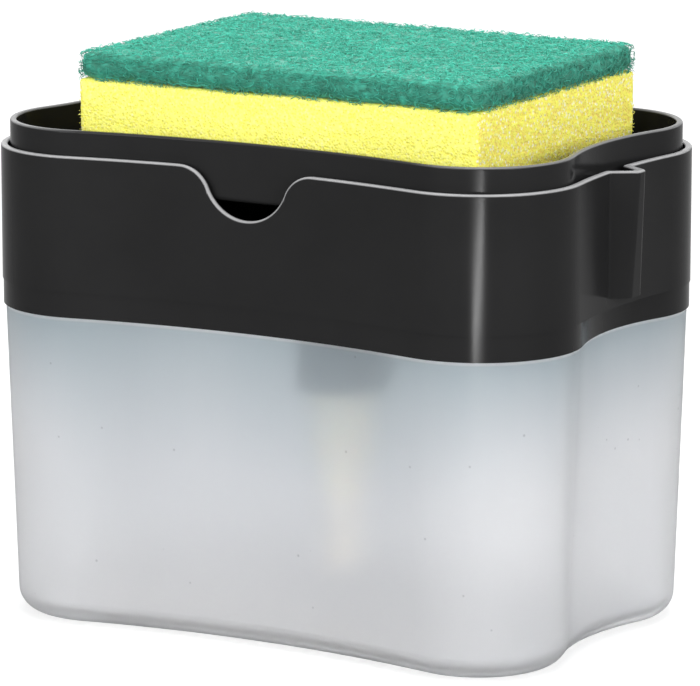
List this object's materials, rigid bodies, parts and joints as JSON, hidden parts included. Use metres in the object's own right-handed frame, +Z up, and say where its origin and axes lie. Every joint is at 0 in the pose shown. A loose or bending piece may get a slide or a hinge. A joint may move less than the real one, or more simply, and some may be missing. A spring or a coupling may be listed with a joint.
{
  "type": "soap pump caddy",
  "caption": "Press-top soap dispenser with a frosted lobed reservoir, a black collar and a sprung sponge tray that pumps soap up into the sponge.",
  "frame": {"origin": "centre of the reservoir's foot, on the surface that it stands on", "axes": "+X along the caddy's length, +Y along its depth away from the viewer of the finger notch, +Z up"},
  "size_m": [0.1416, 0.0916, 0.1226],
  "materials": {
    "frosted_plastic": "frosted translucent",
    "black_plastic": "satin black",
    "ivory_plastic": "natural ivory",
    "tube_plastic": "milky",
    "seal_rubber": "soft natural",
    "spring_steel": "drawn wire",
    "ball_steel": "polished",
    "yellow_foam": "open-cell foam",
    "green_fibre": "non-woven abrasive fibre"
  },
  "bodies": {
    "reservoir": {"reservoir": "frosted_plastic"},
    "pump_collar": {"collar": "black_plastic", "pump_gasket": "seal_rubber", "pump_nut": "black_plastic", "pump_housing": "ivory_plastic", "chaplet": "ivory_plastic", "ball_cage": "ivory_plastic", "return_spring": "spring_steel", "dip_tube": "tube_plastic"},
    "tray": {"press_tray": "black_plastic", "outlet_cap": "black_plastic", "stem": "ivory_plastic", "piston": "seal_rubber", "piston_seat": "ivory_plastic"},
    "sponge": {"sponge_foam": "yellow_foam", "scouring_pad": "green_fibre"},
    "inlet_ball": {"inlet_ball": "ball_steel"},
    "outlet_ball": {"outlet_ball": "ball_steel"}
  },
  "joints": [
    {"name": "collar_lift", "type": "slide", "parent": "reservoir", "child": "pump_collar", "axis": [0, 0, 1], "range_m": [0, 0.08]},
    {"name": "tray_press", "type": "slide", "parent": "pump_collar", "child": "tray", "axis": [0, 0, -1], "range_m": [0, 0.008], "stiffness_N_per_m": 900, "springref_m": -0.006, "deforming": ["return_spring"]},
    {"name": "sponge_lift", "type": "slide", "parent": "tray", "child": "sponge", "axis": [0, 0, 1], "range_m": [0, 0.05]},
    {"name": "inlet_ball_lift", "type": "slide", "parent": "pump_collar", "child": "inlet_ball", "axis": [0, 0, 1], "range_m": [0, 0.0015]},
    {"name": "outlet_ball_lift", "type": "slide", "parent": "tray", "child": "outlet_ball", "axis": [0, 0, 1], "range_m": [0, 0.0015]}
  ]
}
